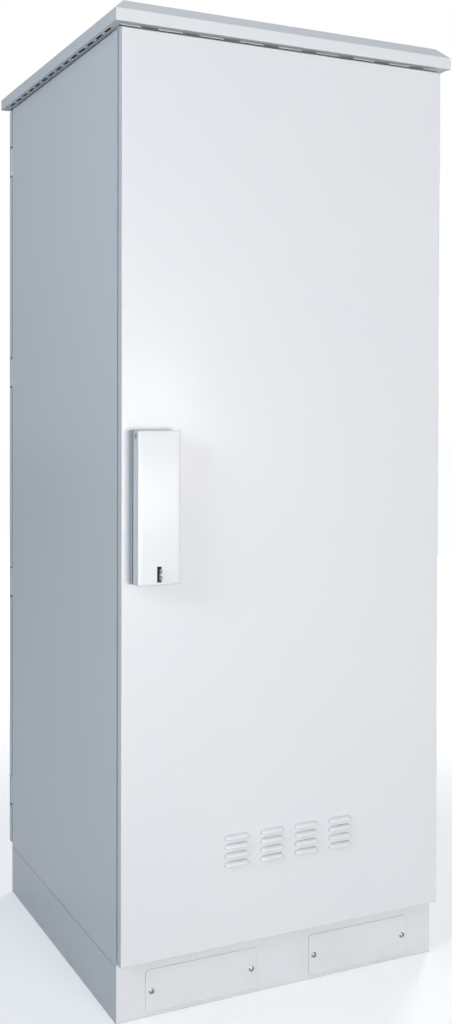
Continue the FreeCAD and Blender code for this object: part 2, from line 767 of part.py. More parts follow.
def make_hinge_brackets(side, placement):
    """The two outer knuckles of each hinge, on a leaf that is screwed to the door frame."""
    brackets = []
    for level in hinge_levels():
        foot = "%s - hinge_height / 2" % level
        pieces = [box(["hinge_x - leaf_relief - leaf_width", "body_front - leaf_sheet", foot],
                      ["leaf_width", "leaf_sheet", "hinge_height"])]
        upper_foot = "%s + door_knuckle_height / 2 + knuckle_gap" % level
        for low_z in (foot, upper_foot):
            pieces.append(cylinder(["hinge_x", "hinge_y", low_z], "knuckle_radius", "body_knuckle_height"))
            pieces.append(box(["hinge_x - knuckle_radius", "hinge_y", low_z],
                              ["knuckle_radius - leaf_relief", "body_front - hinge_y", "body_knuckle_height"]))
        bore = cylinder(["hinge_x", "hinge_y", foot + " - cut_margin"], "pin_radius",
                        "hinge_height + 2 * cut_margin")
        brackets.append(cut(fuse(pieces), bore))
    node(group(brackets), "hinge_brackets_" + side, placement)


def make_hinge_pins(side, placement):
    pins = []
    for level in hinge_levels():
        foot = "%s - hinge_height / 2 - pin_stand_out" % level
        pins.append(cylinder(["hinge_x", "hinge_y", foot], "pin_radius", "hinge_height + 2 * pin_stand_out"))
    node(group(pins), "hinge_pins_" + side, placement)


def make_lock_case(side, placement):
    """The lock's case on the inside of the door, with a rod up and a rod down."""
    case_x = "case_inset - half_width + door_sheet"
    middle_z = "lock_bottom + lock_height / 2"
    case = box([case_x, "door_skin_back", middle_z + " - case_height / 2"],
               ["case_width", "case_depth", "case_height"])
    rod_x = case_x + " + case_width / 2"
    rod_y = "door_skin_back + case_depth / 2"
    low_end = "door_bottom + door_sheet + rod_end_gap"
    case_foot = middle_z + " - case_height / 2"
    case_head = middle_z + " + case_height / 2"
    low_rod = cylinder([rod_x, rod_y, low_end], "rod_radius", "%s - (%s)" % (case_foot, low_end))
    high_rod = cylinder([rod_x, rod_y, case_head], "rod_radius",
                        "door_top - door_sheet - rod_end_gap - (%s)" % case_head)
    node(fuse([case, low_rod, high_rod]), side + "_lock_case", placement)


def make_lock_base(side, placement):
    """A shallow pressed box on the door's face, with two ears for the cover's pivot.

    The ears' arms lie below the pivot, out of the way of the raised cover.
    """
    low = ["lock_x - lock_width / 2", "lock_base_front", "lock_bottom"]
    shell = box(low, ["lock_width", "lock_base_depth", "lock_height"])
    hollow = box(["lock_x - cover_half", "lock_base_front + lock_sheet", "lock_bottom + lock_sheet"],
                 ["2 * cover_half", "lock_base_depth - lock_sheet", "lock_height - 2 * lock_sheet"])
    pieces = [cut(shell, hollow)]
    for ear_x in ("lock_x - cover_half + ear_gap", "lock_x + cover_half - ear_gap - ear_sheet"):
        pieces.append(cylinder([ear_x, "pivot_y", "pivot_z"], "ear_radius", "ear_sheet", ALONG_X))
        pieces.append(box([ear_x, "pivot_y", "pivot_z - 2 * ear_radius"],
                          ["ear_sheet", "lock_base_front - pivot_y", "2 * ear_radius"]))
    bore = cylinder(["lock_x - lock_width", "pivot_y", "pivot_z"], "pivot_radius + pivot_clearance",
                    "2 * lock_width", ALONG_X)
    node(cut(fuse(pieces), bore), side + "_lock_base", placement)


def make_staple(side, placement):
    """The flat eye that comes through the cover's slot and takes a padlock."""
    low_z = "lock_bottom + slot_bottom + (slot_height - staple_height) / 2"
    middle_z = "lock_bottom + slot_bottom + slot_height / 2"
    tip = "cover_front - staple_reach"
    round_middle = tip + " + staple_height / 2"
    blade = box(["lock_x - staple_sheet / 2", round_middle, low_z],
                ["staple_sheet", "lock_base_front - (%s)" % round_middle, "staple_height"])
    nose = cylinder(["lock_x - staple_sheet / 2", round_middle, middle_z], "staple_height / 2",
                    "staple_sheet", ALONG_X)
    eye = cylinder(["lock_x - staple_sheet", "cover_front - staple_reach / 2", middle_z], "staple_hole_radius",
                   "2 * staple_sheet", ALONG_X)
    node(cut(fuse([blade, nose]), eye), side + "_padlock_staple", placement)


def make_handle(side, placement):
    """The flat lever under the cover, with the lock barrel in its upper end."""
    body = new_body("handle")
    middle_z = "lock_bottom + handle_bottom + handle_height / 2"
    face = outline(body, "XZ_Plane", "handle_width", "handle_height", ("lock_x", middle_z, "-lock_base_front"))
    lever = pad(body, face, "handle_depth")
    limit = lever.Shape.BoundBox.YMin
    front_edges = edges_where(lever.Shape, lambda edge, point: abs(point.y - limit) < TOUCH)
    fillet(body, lever, front_edges, "handle_fold_radius")
    barrel_z = "lock_bottom + handle_bottom + handle_height - lock_barrel_drop"
    barrel = sketch_on(body, "XZ_Plane", ("lock_x", barrel_z, "-lock_base_front"))
    circle(barrel, "lock_barrel_radius")
    pad(body, barrel, "lock_barrel_length")
    node(body, side + "_handle", placement)


def make_lock_cover(side, placement):
    """A pan that hangs on its pivot over the lock.

    Its upper rear corners are round about the pivot, and its head is notched over the ears, so that it can
    swing up.
    """
    left = "lock_x - lock_width / 2"
    head_top = "pivot_z + pivot_drop"
    trunk = box([left, "cover_front", "lock_bottom"], ["lock_width", "cover_depth", "lock_height - pivot_drop"])
    head = box([left, "cover_front", "pivot_z"], ["lock_width", "pivot_setback", "pivot_drop"])
    round_bar = cylinder([left, "pivot_y", "pivot_z"], "cover_depth - pivot_setback", "lock_width", ALONG_X)
    above = box([left, "pivot_y", head_top], ["lock_width", "cover_depth", "cover_depth"])
    before = box([left, "cover_front - cover_depth", "pivot_z - cover_depth"],
                 ["lock_width", "cover_depth + pivot_setback", "2 * cover_depth"])
    corner = cut(cut(round_bar, above), before)
    hollow = box(["lock_x - cover_half", "cover_front + lock_sheet", "lock_bottom + lock_sheet"],
                 ["2 * cover_half", "cover_depth", "lock_height - 2 * lock_sheet"])
    slot = middle_box("lock_x", "cover_front - cut_margin", "lock_bottom + slot_bottom",
                      ["slot_width", "lock_sheet + 2 * cut_margin", "slot_height"])
    bore = cylinder(["lock_x - lock_width", "pivot_y", "pivot_z"], "pivot_radius", "2 * lock_width", ALONG_X)
    notch_width = "(ear_sheet + 2 * ear_gap)"
    notch_size = [notch_width, "cover_depth", "2 * pivot_drop"]
    notches = [box([low_x, "cover_front + lock_sheet", "pivot_z"], notch_size)
               for low_x in ("lock_x - cover_half", "lock_x + cover_half - " + notch_width)]
    pan = fuse([trunk, head, corner])
    for tool in [hollow, slot, bore] + notches:
        pan = cut(pan, tool)
    node(pan, side + "_lock_cover", placement)


def make_cover_pin(side, placement):
    """The cover's pivot, a rod with a low head on each side."""
    rod = cylinder(["lock_x - lock_width / 2", "pivot_y", "pivot_z"], "pivot_radius", "lock_width", ALONG_X)
    left = cylinder(["lock_x - lock_width / 2 - pivot_head", "pivot_y", "pivot_z"], "pivot_head_radius",
                    "pivot_head", ALONG_X)
    right_face = ["lock_x + lock_width / 2", "pivot_y", "pivot_z"]
    right = cylinder(right_face, "pivot_head_radius", "pivot_head", ALONG_X)
    node(fuse([rod, left, right]), side + "_cover_pin", placement)


make_plinth()
make_floor()
make_ceiling()
make_roof()
make_side_panel("side_panel_left", SIDES["front"])
make_side_panel("side_panel_right", SIDES["rear"])
make_depth_bars()
make_side_soffits()
for side, placement in SIDES.items():
    make_plinth_covers(side, placement)
    make_door_frame(side, placement)
    make_posts(side, placement)
    make_crossbars(side, placement)
    make_rails(side, placement)
    make_soffit(side, placement)
    make_hinge_brackets(side, placement)
    make_hinge_pins(side, placement)
    make_door(side, placement)
    make_gasket(side, placement)
    make_stiffeners(side, placement)
    make_door_knuckles(side, placement)
    make_lock_case(side, placement)
    make_lock_base(side, placement)
    make_staple(side, placement)
    make_handle(side, placement)
    make_lock_cover(side, placement)
    make_cover_pin(side, placement)

doc.recompute()
faults = [thing.Name for thing in doc.Objects if "Invalid" in thing.State or "Error" in thing.State]
for thing in nodes:
    if thing.Shape.isNull() or not thing.Shape.isValid():
        faults.append(thing.Label)
if faults:
    raise ValueError("these pieces failed: " + ", ".join(faults))

os.makedirs("parts", exist_ok=True)
for thing in nodes:
    thing.Shape.exportStep("parts/" + thing.Label + ".step")
    bounds = thing.Shape.BoundBox
    print("%-24s %d solids %9.1f cm3  x %.1f..%.1f  y %.1f..%.1f  z %.1f..%.1f" % (
        thing.Label, len(thing.Shape.Solids), thing.Shape.Volume / 1000,
        bounds.XMin, bounds.XMax, bounds.YMin, bounds.YMax, bounds.ZMin, bounds.ZMax))
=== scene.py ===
# %% [markdown]
# # An outdoor rack cabinet, dressed
#
# The cabinet is a sheet-steel housing for rack equipment, painted with light grey powder. Its construction is
# already there as a fixed frame of solids. This lesson adds what the solids leave out: rounded sheet edges,
# punched rack rails, screws, seals and cable grommets. It then gives every surface its finish, sets up a plain
# studio and places the camera where the photographer stood. All lengths are in metres.

# %% Load the frame
import json
import math

import bmesh
import bpy
from mathutils import Matrix, Vector


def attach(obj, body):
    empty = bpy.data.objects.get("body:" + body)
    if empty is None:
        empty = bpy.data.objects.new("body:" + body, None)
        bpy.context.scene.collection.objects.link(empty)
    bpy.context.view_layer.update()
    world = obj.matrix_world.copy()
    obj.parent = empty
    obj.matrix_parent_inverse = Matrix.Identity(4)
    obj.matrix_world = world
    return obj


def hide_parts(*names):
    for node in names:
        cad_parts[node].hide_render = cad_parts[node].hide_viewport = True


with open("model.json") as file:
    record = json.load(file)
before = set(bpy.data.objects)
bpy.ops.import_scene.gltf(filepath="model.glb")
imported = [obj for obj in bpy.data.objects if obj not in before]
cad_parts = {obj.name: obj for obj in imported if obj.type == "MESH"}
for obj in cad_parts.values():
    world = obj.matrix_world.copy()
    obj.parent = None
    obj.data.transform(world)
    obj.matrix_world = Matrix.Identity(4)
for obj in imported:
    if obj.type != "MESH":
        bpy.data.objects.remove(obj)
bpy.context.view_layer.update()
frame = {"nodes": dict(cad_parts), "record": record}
nodes = frame["nodes"]
MM = 0.001

# %% [markdown]
# The camera comes first, because everything that is added later is judged through it. The photographer stood
# about three metres in front of the cabinet, to the left of it and at eye height. The lens looks almost level,
# and the picture was cropped afterwards, which a small shift of the lens repeats.

# %% Place the camera
CAMERA_PLACE = Vector((-1.3124, -2.8502, 1.3171))
CAMERA_YAW = math.radians(26.379)
CAMERA_PITCH = math.radians(-0.903)
CAMERA_ROLL = math.radians(0.179)
LENS = 43.42
SHIFT = (-0.0193, -0.0862)

bpy.ops.object.select_all(action="DESELECT")
bpy.ops.object.camera_add(location=CAMERA_PLACE)
camera = bpy.context.object
camera.name = "camera"
turn = Matrix.Rotation(-CAMERA_YAW, 4, "Z") @ Matrix.Rotation(math.pi / 2 + CAMERA_PITCH, 4, "X")
camera.rotation_euler = (turn @ Matrix.Rotation(CAMERA_ROLL, 4, "Z")).to_euler()
camera.data.lens = LENS
camera.data.shift_x, camera.data.shift_y = SHIFT
bpy.context.scene.camera = camera
print("camera stands", round(CAMERA_PLACE.length, 2), "m from the cabinet's foot")

# %% [markdown]
# A finish is a small graph of nodes. Written out node by node it would be hard to read, so two helpers keep it
# short. A Value is the output of a node, and sums, differences and products of Values add Math nodes by
# themselves. A Graph adds any other node in one line, and a Finish is the Graph of one material.

# %% Helpers for finishes
class Value:
    """The output of a node. Arithmetic on it adds Math nodes."""

    def __init__(self, graph, socket):
        self.graph = graph
        self.socket = socket

    def maths(self, operation, first, second):
        return self.graph.node("ShaderNodeMath", {"operation": operation}, {0: first, 1: second})

    def __add__(self, other):
        return self.maths("ADD", self, other)

    def __sub__(self, other):
        return self.maths("SUBTRACT", self, other)

    def __rsub__(self, other):
        return self.maths("SUBTRACT", other, self)

    def __mul__(self, other):
        return self.maths("MULTIPLY", self, other)

    __radd__ = __add__
    __rmul__ = __mul__


class Graph:
    """The nodes of one material or of the sky."""

    def __init__(self, tree):
        self.tree = tree

    def feed(self, socket, value):
        if isinstance(value, Value):
            self.tree.links.new(value.socket, socket)
        else:
            socket.default_value = value

    def node(self, kind, settings, inputs, output=0):
        """Add a node: its settings first, then the values or links of its sockets."""
        made = self.tree.nodes.new(kind)
        for name, value in settings.items():
            if name == "stops":
                for element, (place, shade) in zip(made.color_ramp.elements, value):
                    element.position = place
                    element.color = (shade, shade, shade, 1)
            else:
                setattr(made, name, value)
        for socket, value in inputs.items():
            self.feed(made.inputs[socket], value)
        return Value(self, made.outputs[output])

    def ramp(self, value, low, high):
        """0 below low, 1 above high and even in between."""
        return self.node("ShaderNodeValToRGB", {"stops": ((low, 0.0), (high, 1.0))}, {"Fac": value})

    def mix(self, share, first, second):
        """A colour between two colours."""
        return self.node("ShaderNodeMix", {"data_type": "RGBA"}, {0: share, 6: first, 7: second}, 2)


class Finish(Graph):
    """One material: its Principled shader and the nodes before it."""

    def __init__(self, name, **fixed):
        self.material = bpy.data.materials.new(name)
        self.material.use_nodes = True
        super().__init__(self.material.node_tree)
        self.shader = self.tree.nodes["Principled BSDF"]
        for socket, value in fixed.items():
            self.shader.inputs[socket.replace("_", " ")].default_value = value

    def place(self):
        """Where the surface is on the object, in metres."""
        return self.node("ShaderNodeTexCoord", {}, {}, "Object")

    def noise(self, scale, detail=2.0, stretch=None):
        """Soft random spots of about 1 / scale metres."""
        where = self.place()
        if stretch:
            where = self.node("ShaderNodeMapping", {}, {"Vector": where, "Scale": stretch})
        return self.node("ShaderNodeTexNoise", {}, {"Vector": where, "Scale": scale, "Detail": detail})

    def creases(self, distance):
        """Ambient occlusion: 0 on open surfaces and towards 1 in gaps and folds, where shade falls."""
        return 1 - self.node("ShaderNodeAmbientOcclusion", {"samples": 4}, {"Distance": distance}, "AO")

    def edges(self, radius):
        """The normal of a surface whose edges are rounded, and a mask that is 1 on those edges."""
        rounded = self.node("ShaderNodeBevel", {"samples": 6}, {"Radius": radius})
        flat = self.node("ShaderNodeNewGeometry", {}, {}, "Normal")
        cosine = self.node("ShaderNodeVectorMath", {"operation": "DOT_PRODUCT"}, {0: rounded, 1: flat}, "Value")
        return rounded, self.ramp(1 - cosine, 0.02, 0.25)

    def bump(self, height, distance, strength, normal=None):
        inputs = {"Height": height, "Distance": distance, "Strength": strength}
        if normal:
            inputs["Normal"] = normal
        self.feed(self.shader.inputs["Normal"], self.node("ShaderNodeBump", {}, inputs))

    def set(self, socket, value):
        self.feed(self.shader.inputs[socket], value)


print("helpers ready")

# %% [markdown]
# The cabinet's skin is powder coat: a plastic film, baked on, with a fine leathery grain that shows where a
# lamp glances off it. The grain is two layers of noise as bump. The colour drifts by a few percent over a
# panel, is a little paler where the film thins on folded edges, and takes a trace of dust near the ground. The
# gaps round the doors and under the roof get painted shade: the colour is darkened where ambient occlusion
# finds the surface hemmed in. A clear coat gives the semi-gloss shine. The lock's base gets the same film in a
# darker grey.

# %% Powder coat
def powder_coat(name, base, faded, thin_edge):
    finish = Finish(name, Specular_IOR_Level=0.45, Coat_Roughness=0.2)
    dust = (0.57, 0.57, 0.555, 1)
    painted_crease_shade = (0.16, 0.17, 0.18, 1)
    rounded, edge = finish.edges(1.2 * MM)
    drift = finish.ramp(finish.noise(2.2, 4.0), 0.35, 0.7)
    tone = finish.mix(drift, base, faded)
    tone = finish.mix(edge * 0.5, tone, thin_edge)
    height = finish.node("ShaderNodeSeparateXYZ", {}, {0: finish.place()}, "Z")
    low = 1 - finish.ramp(height, 0.0, 0.14)
    patches = finish.ramp(finish.noise(14.0, 5.0), 0.42, 0.75)
    tone = finish.mix(low * patches * 0.35, tone, dust)
    # painted shade: the colour darkens in gaps and folds, found by ambient occlusion
    crease_shade_mask = finish.ramp(finish.creases(14.0 * MM), 0.58, 0.95)
    tone = finish.mix(crease_shade_mask * 0.75, tone, painted_crease_shade)
    finish.set("Base Color", tone)
    finish.set("Roughness", 0.3 + 0.08 * finish.noise(180.0) + 0.08 * drift)
    finish.set("Coat Weight", 0.65 - 0.25 * drift)
    grain = 0.65 * finish.noise(420.0, 1.0) + 0.35 * finish.noise(1100.0, 1.0)
    finish.bump(grain, 0.4 * MM, 0.6, rounded)
    return finish.material


paint = powder_coat("powder_coat", base=(0.68, 0.70, 0.72, 1), faded=(0.655, 0.675, 0.70, 1),
                    thin_edge=(0.77, 0.785, 0.80, 1))
dark_paint = powder_coat("lock_base_coat", base=(0.36, 0.375, 0.39, 1), faded=(0.34, 0.355, 0.37, 1),
                         thin_edge=(0.44, 0.455, 0.47, 1))
print("finishes:", paint.name, dark_paint.name)

# %% [markdown]
# Inside, the bars and plates are galvanised. Zinc freezes on steel in flat crystals, the spangle, each a
# slightly different grey, so a cell pattern gives every crystal its own tone and its own polish.

# %% Galvanised sheet
def galvanised():
    finish = Finish("galvanised_sheet", Metallic=0.9)
    rounded, edge = finish.edges(0.8 * MM)
    crystal = finish.node("ShaderNodeTexVoronoi", {}, {"Vector": finish.place(), "Scale": 75.0}, "Color")
    shade = finish.node("ShaderNodeSeparateColor", {}, {"Color": crystal}, "Red")
    cloud = finish.noise(9.0, 4.0)
    dull, bright = (0.50, 0.51, 0.53, 1), (0.68, 0.69, 0.70, 1)
    rubbed_edge = (0.78, 0.79, 0.80, 1)
    tone = finish.mix(0.7 * shade + 0.3 * cloud, dull, bright)
    finish.set("Base Color", finish.mix(edge * 0.6, tone, rubbed_edge))
    finish.set("Roughness", 0.34 + 0.16 * shade + 0.06 * cloud)
    finish.bump(0.3 * shade + 0.7 * finish.noise(420.0), 0.15 * MM, 0.25, rounded)
    return finish.material


zinc = galvanised()
print("finish:", zinc.name)

# %% [markdown]
# Pins, screws and the padlock eye are turned or stamped from bright steel. Fine lines from the tool run round
# them, so the noise is squeezed along one axis, and a little tarnish dulls the polish in patches.

# %% Bright steel
def bright_steel():
    finish = Finish("bright_steel", Metallic=1.0)
    rounded, edge = finish.edges(0.4 * MM)
    lines = finish.noise(260.0, 3.0, (1.0, 1.0, 7.0))
    tarnish = finish.ramp(finish.noise(120.0, 3.0), 0.4, 0.75)
    clean, tarnished = (0.52, 0.52, 0.53, 1), (0.38, 0.37, 0.36, 1)
    rubbed_edge = (0.66, 0.66, 0.67, 1)
    tone = finish.mix(tarnish * 0.7, clean, tarnished)
    finish.set("Base Color", finish.mix(edge * 0.4, tone, rubbed_edge))
    finish.set("Roughness", 0.32 + 0.14 * lines + 0.14 * tarnish)
    finish.bump(lines, 0.05 * MM, 0.3, rounded)
    return finish.material


steel = bright_steel()
print("finish:", steel.name)

# %% [markdown]
# The seal is black foam, poured as a bead and full of fine closed cells. The lever under the lock cover is
# black moulded plastic with a spark-eroded grain, and the cable grommets are smooth rubber with a bloom.

# %% Foam, plastic and rubber
def foam():
    finish = Finish("seal_foam", Specular_IOR_Level=0.3)
    cells = finish.node("ShaderNodeTexVoronoi", {}, {"Vector": finish.place(), "Scale": 900.0})
    bloom = finish.noise(40.0, 4.0)
    black, dusty = (0.018, 0.018, 0.019, 1), (0.05, 0.05, 0.052, 1)
    finish.set("Base Color", finish.mix(bloom, black, dusty))
    finish.set("Roughness", 0.8 + 0.15 * bloom)
    finish.bump(cells + 0.4 * bloom, 0.4 * MM, 0.5)
    return finish.material


def moulded_plastic():
    finish = Finish("moulded_plastic", Specular_IOR_Level=0.5)
    rounded, edge = finish.edges(0.6 * MM)
    wear = finish.ramp(finish.noise(60.0, 4.0), 0.45, 0.7)
    black, worn = (0.022, 0.022, 0.024, 1), (0.045, 0.045, 0.047, 1)
    worn_edge = (0.11, 0.11, 0.115, 1)
    tone = finish.mix(wear * 0.5, black, worn)
    finish.set("Base Color", finish.mix(edge * wear, tone, worn_edge))
    finish.set("Roughness", 0.42 + 0.16 * wear)
    finish.bump(finish.noise(1100.0, 1.0), 0.12 * MM, 0.5, rounded)
    return finish.material


def rubber():
    finish = Finish("grommet_rubber", Specular_IOR_Level=0.35)
    bloom = finish.ramp(finish.noise(90.0, 5.0), 0.4, 0.72)
    black, bloomed = (0.025, 0.025, 0.026, 1), (0.075, 0.074, 0.072, 1)
    finish.set("Base Color", finish.mix(bloom * 0.6, black, bloomed))
    finish.set("Roughness", 0.5 + 0.3 * bloom)
    finish.bump(finish.noise(500.0, 3.0), 0.1 * MM, 0.3)
    return finish.material


seal, plastic, grommet_rubber = foam(), moulded_plastic(), rubber()
print("finishes:", seal.name, plastic.name, grommet_rubber.name)

# %% [markdown]
# The solids already carry the name of a material slot each, so one table gives them their finish. Only the
# lock's base leaves the table for its darker coat.

# %% Give the solids their finish
FINISHES = {"cabinet_paint": paint, "zinc": zinc, "steel": steel, "gasket": seal, "handle": plastic}
for part in frame["record"]["subparts"]:
    # the lock's base gets the powder coat in a darker grey
    darker_base = part["node"].endswith("_lock_base")
    mesh = nodes[part["node"]].data
    mesh.materials.clear()
    mesh.materials.append(dark_paint if darker_base else FINISHES[part["material_slot"]])

# %% [markdown]
# The pieces that follow are modelled as at a workbench: add a primitive at its size and place, go into edit mode,
# select by place or direction, shape, and come back. These helpers hold the few steps that every piece needs. A
# block is given by its two corners in millimetres, and a finished piece keeps its place in its mesh.

# %% Helpers for pieces
SMOOTH_BELOW = math.radians(35)


def alone(thing):
    """Make one object the only selected one."""
    bpy.ops.object.select_all(action="DESELECT")
    thing.select_set(True)
    bpy.context.view_layer.objects.active = thing


def named(thing, name):
    thing.name = name
    thing.data.name = name
    bpy.ops.object.transform_apply(location=True, rotation=True, scale=True)
    return thing


def block(name, low, high):
    """A block between two corners."""
    low, high = Vector(low) * MM, Vector(high) * MM
    bpy.ops.object.select_all(action="DESELECT")
    bpy.ops.mesh.primitive_cube_add(size=1.0, location=(low + high) / 2, scale=high - low)
    return named(bpy.context.object, name)


def rod(name, start, length, radius, axis="Y", sides=32):
    """A round bar that runs from its start along an axis."""
    turns = {"X": (0, math.pi / 2, 0), "Y": (-math.pi / 2, 0, 0), "Z": (0, 0, 0)}
    forward = {"X": Vector((1, 0, 0)), "Y": Vector((0, 1, 0)), "Z": Vector((0, 0, 1))}[axis]
    bpy.ops.object.select_all(action="DESELECT")
    middle = (Vector(start) + forward * length / 2) * MM
    bpy.ops.mesh.primitive_cylinder_add(vertices=sides, radius=radius * MM, depth=length * MM,
                                        location=middle, rotation=turns[axis])
    return named(bpy.context.object, name)


def choose(thing, kind, test):
    """Go into edit mode and select the faces or edges that pass a test of middle (mm) and direction."""
    alone(thing)
    bpy.ops.object.mode_set(mode="EDIT")
    bpy.ops.mesh.select_mode(type=kind)
    bpy.ops.mesh.select_all(action="DESELECT")
    mesh = bmesh.from_edit_mesh(thing.data)
    for element in (mesh.faces if kind == "FACE" else mesh.edges):
        corners = [corner.co for corner in element.verts]
        middle = sum(corners, Vector()) / len(corners) / MM
        way = element.normal if kind == "FACE" else (corners[1] - corners[0]).normalized()
        element.select_set(bool(test(middle, way)))
    mesh.select_flush_mode()
    bmesh.update_edit_mesh(thing.data)


def done():
    bpy.ops.object.mode_set(mode="OBJECT")


def slice_across(thing, point, way):
    """Add a line of edges where a plane crosses the mesh."""
    alone(thing)
    bpy.ops.object.mode_set(mode="EDIT")
    bpy.ops.mesh.select_all(action="SELECT")
    bpy.ops.mesh.bisect(plane_co=Vector(point) * MM, plane_no=way)
    done()


def drop_faces(thing, test):
    choose(thing, "FACE", test)
    bpy.ops.mesh.delete(type="FACE")
    done()


def modify(thing, kind, **settings):
    """Add a modifier, set it and apply it."""
    alone(thing)
    modifier = thing.modifiers.new(kind.lower(), kind)
    for name, value in settings.items():
        setattr(modifier, name, value)
    bpy.ops.object.modifier_apply(modifier=modifier.name)


def shade(thing):
    """Shade a piece smooth, but for its sharp edges."""
    alone(thing)
    bpy.ops.object.shade_smooth_by_angle(angle=SMOOTH_BELOW)


def soften(thing, width, segments=3):
    """Round the sharp edges and shade the piece smooth between them."""
    modify(thing, "BEVEL", width=width * MM, segments=segments, limit_method="ANGLE", angle_limit=math.radians(30),
           harden_normals=False)
    shade(thing)


def turn_outwards(thing):
    """Recalculate the normals of a piece."""
    alone(thing)
    bpy.ops.object.mode_set(mode="EDIT")
    bpy.ops.mesh.select_all(action="SELECT")
    bpy.ops.mesh.normals_make_consistent(inside=False)
    done()


def subtract(thing, tools):
    """Cut other shapes out of a piece and throw them away."""
    for tool in tools:
        modify(thing, "BOOLEAN", operation="DIFFERENCE", object=tool, solver="EXACT")
        bpy.data.objects.remove(tool)


def join(name, parts):
    alone(parts[0])
    for part in parts:
        part.select_set(True)
    bpy.ops.object.join()
    return named(bpy.context.object, name)


def copied(thing, name, shift=(0, 0, 0), turned=0.0):
    """A copy with its own mesh, moved by some millimetres and turned about the cabinet's upright axis."""
    alone(thing)
    bpy.ops.object.duplicate()
    twin = bpy.context.object
    twin.location = Vector(shift) * MM
    twin.rotation_euler = (0, 0, turned)
    return named(twin, name)


def fit(thing, body, slot, finish, *stands_for):
    """Give a piece its finish, its body and the solids that it stands for."""
    thing.data.materials.clear()
    thing.data.materials.append(finish)
    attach(thing, body)
    if stands_for:
        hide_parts(*stands_for)
    thing.data.update()
    print("fitted", thing.name, len(thing.data.polygons), "faces")
    return thing


def both_sides(thing, side_name, front_body, rear_body, slot, finish, node=None):
    """Fit a piece at the front and its half-turned copy at the rear."""
    rear = copied(thing, "rear_" + side_name, turned=math.pi)
    alone(thing)
    thing.name = "front_" + side_name
    for piece, side, body in ((thing, "front", front_body), (rear, "rear", rear_body)):
        fit(piece, body, slot, finish, *([node.replace("SIDE", side)] if node else []))


print("workbench ready")

# %% [markdown]
# The lock cover is a pan folded from two-millimetre sheet. It hides the handle and a padlock holds it shut
# through the slot near its foot. A folded sheet has a round outer bend and an even wall, so the pan starts as a
# block whose back is taken off; its edges are rounded, and Solidify then gives the skin its thickness inwards.

# %% Lock cover
COVER_LOW = (-382.0, -476.0, 940.0)
COVER_HIGH = (-286.0, -449.0, 1262.0)
COVER_MIDDLE = (COVER_LOW[0] + COVER_HIGH[0]) / 2
COVER_SHEET = 2.0
COVER_BEND = 2.6
SLOT_SIZE = (10.0, 33.0)
SLOT_FOOT = 946.0
NOTCH_SIDE = 40.0
NOTCH_FRONT = -470.0
TOP_REAR_ROUND = 8.0


def lock_cover():
    pan = block("front_lock_cover_skin", COVER_LOW, COVER_HIGH)
    choose(pan, "EDGE", lambda middle, way: middle.y > COVER_HIGH[1] - 1 and middle.z > COVER_HIGH[2] - 1)
    bpy.ops.mesh.bevel(offset=TOP_REAR_ROUND * MM, segments=5)
    done()
    drop_faces(pan, lambda middle, way: way.y > 0.01)
    for x in (-SLOT_SIZE[0] / 2, SLOT_SIZE[0] / 2, -NOTCH_SIDE, NOTCH_SIDE):
        slice_across(pan, (COVER_MIDDLE + x, 0, 0), (1, 0, 0))
    for z in (SLOT_FOOT, SLOT_FOOT + SLOT_SIZE[1]):
        slice_across(pan, (0, 0, z), (0, 0, 1))
    slice_across(pan, (0, NOTCH_FRONT, 0), (0, 1, 0))
    drop_faces(pan, lambda middle, way: way.y < -0.9 and abs(middle.x - COVER_MIDDLE) < SLOT_SIZE[0] / 2
               and SLOT_FOOT < middle.z < SLOT_FOOT + SLOT_SIZE[1])
    drop_faces(pan, lambda middle, way: way.z > 0.9 and abs(middle.x - COVER_MIDDLE) > NOTCH_SIDE
               and middle.y > NOTCH_FRONT)
    modify(pan, "BEVEL", width=COVER_BEND * MM, segments=4, limit_method="ANGLE", angle_limit=math.radians(60))
    modify(pan, "SOLIDIFY", thickness=COVER_SHEET * MM, offset=-1.0, use_even_offset=True)
    shade(pan)
    return pan


both_sides(lock_cover(), "cover_skin", "front_cover", "rear_cover", "cabinet_paint", paint, "SIDE_lock_cover")

# %% [markdown]
# Under the cover sits a swing handle: a long escutcheon, a lever that folds flat into it, and the barrel of the
# key lock. The three are moulded or turned parts, so each is a primitive with generously rounded edges. The key
# way is cut into the barrel with a thin block.

# %% Swing handle
HANDLE_LOW = (-347.0, -450.0, 1030.0)
HANDLE_HIGH = (-321.0, -444.2, 1200.0)
HANDLE_MIDDLE = (HANDLE_LOW[0] + HANDLE_HIGH[0]) / 2
HANDLE_ROUND = 11.0
LEVER_HALF = 9.0
LEVER_FRONT, LEVER_BACK = -458.0, -450.4
LEVER_FOOT, LEVER_HEAD = 1036.0, 1156.0
ROOT_HALF = 7.0
BARREL_HEIGHT = 1174.0
BARREL_FRONT = -460.0
BARREL_LENGTH = 12.0
BARREL_RADIUS = 9.0
KEYWAY_HALF = (0.9, 4.0)


def swing_handle():
    plate = block("handle_plate", HANDLE_LOW, HANDLE_HIGH)
    choose(plate, "EDGE", lambda middle, way: abs(way.y) > 0.9)
    bpy.ops.mesh.bevel(offset=HANDLE_ROUND * MM, segments=8)
    done()
    soften(plate, 1.2)
    lever = block("handle_lever", (HANDLE_MIDDLE - LEVER_HALF, LEVER_FRONT, LEVER_FOOT),
                  (HANDLE_MIDDLE + LEVER_HALF, LEVER_BACK, LEVER_HEAD))
    choose(lever, "EDGE", lambda middle, way: abs(way.x) > 0.9 and middle.z < LEVER_FOOT + 1
           and middle.y < LEVER_FRONT + 1)
    bpy.ops.mesh.bevel(offset=5.5 * MM, segments=4)
    done()
    choose(lever, "EDGE", lambda middle, way: abs(way.y) > 0.9 and middle.z > LEVER_HEAD - 6)
    bpy.ops.mesh.bevel(offset=8.0 * MM, segments=6)
    done()
    soften(lever, 1.8)
    root = block("handle_root", (HANDLE_MIDDLE - ROOT_HALF, -451.0, 1050.0),
                 (HANDLE_MIDDLE + ROOT_HALF, -449.5, 1148.0))
    return join("front_handle_lever", [plate, lever, root])


